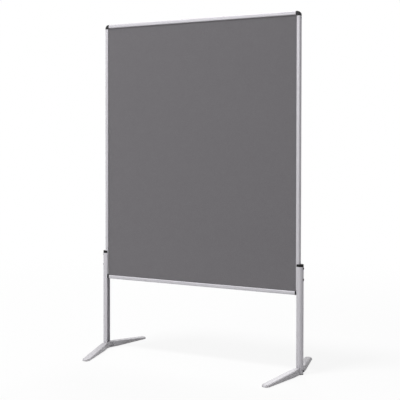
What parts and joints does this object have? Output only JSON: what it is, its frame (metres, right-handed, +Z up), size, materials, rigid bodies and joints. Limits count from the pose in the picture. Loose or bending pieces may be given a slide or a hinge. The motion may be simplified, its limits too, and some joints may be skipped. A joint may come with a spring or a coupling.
{
  "type": "mobile pinboard",
  "caption": "Free-standing pinboard: grey felt panel in an aluminium edge frame between two channel legs, on low swept foot arms that fold in under the board.",
  "frame": {"origin": "on the floor, below the middle of the board", "axes": "+X along the board to the right as seen from the front, +Y to the back, +Z up"},
  "size_m": [1.2454, 0.69, 1.92],
  "materials": {
    "board": "soft fibreboard, cut edge",
    "felt": "needled grey felt",
    "frame": "natural anodised extrusion",
    "corner": "moulded anthracite plastic",
    "cap": "moulded black plastic",
    "casting": "silver-grey powder-coated aluminium casting",
    "screw": "blackened steel",
    "steel": "zinc-plated steel",
    "bush": "natural nylon",
    "rubber": "moulded rubber"
  },
  "bodies": {
    "stand": {"board_core": "board", "felt_front": "felt", "felt_back": "felt", "frame_top": "frame", "frame_bottom": "frame", "frame_left": "frame", "frame_right": "frame", "corner_top_left": "corner", "corner_top_right": "corner", "corner_bottom_left": "corner", "corner_bottom_right": "corner", "corner_screws": "screw", "leg_left": "frame", "leg_cap_left": "cap", "leg_plug_left": "cap", "leg_screws_left": "screw", "nut_plate_left": "steel", "foot_hub_left": "casting", "hub_screw_left": "screw", "pivot_bush_left_front": "bush", "pivot_bush_left_rear": "bush", "leg_right": "frame", "leg_cap_right": "cap", "leg_plug_right": "cap", "leg_screws_right": "screw", "nut_plate_right": "steel", "foot_hub_right": "casting", "hub_screw_right": "screw", "pivot_bush_right_front": "bush", "pivot_bush_right_rear": "bush"},
    "left_front_arm": {"arm_left_front": "casting", "pivot_pin_left_front": "steel", "arm_glide_left_front": "rubber"},
    "left_rear_arm": {"arm_left_rear": "casting", "pivot_pin_left_rear": "steel", "arm_glide_left_rear": "rubber"},
    "right_front_arm": {"arm_right_front": "casting", "pivot_pin_right_front": "steel", "arm_glide_right_front": "rubber"},
    "right_rear_arm": {"arm_right_rear": "casting", "pivot_pin_right_rear": "steel", "arm_glide_right_rear": "rubber"}
  },
  "joints": [
    {"name": "left_front_arm_fold", "type": "hinge", "parent": "stand", "child": "left_front_arm", "pos_m": [-0.59281, -0.036, 0.0215], "axis": [0, 0, 1], "range_deg": [0, 78.7]},
    {"name": "left_rear_arm_fold", "type": "hinge", "parent": "stand", "child": "left_rear_arm", "pos_m": [-0.59281, 0.036, 0.0215], "axis": [0, 0, 1], "range_deg": [-78.7, 0]},
    {"name": "right_front_arm_fold", "type": "hinge", "parent": "stand", "child": "right_front_arm", "pos_m": [0.59281, -0.036, 0.0215], "axis": [0, 0, 1], "range_deg": [-78.7, 0]},
    {"name": "right_rear_arm_fold", "type": "hinge", "parent": "stand", "child": "right_rear_arm", "pos_m": [0.59281, 0.036, 0.0215], "axis": [0, 0, 1], "range_deg": [0, 78.7]}
  ]
}
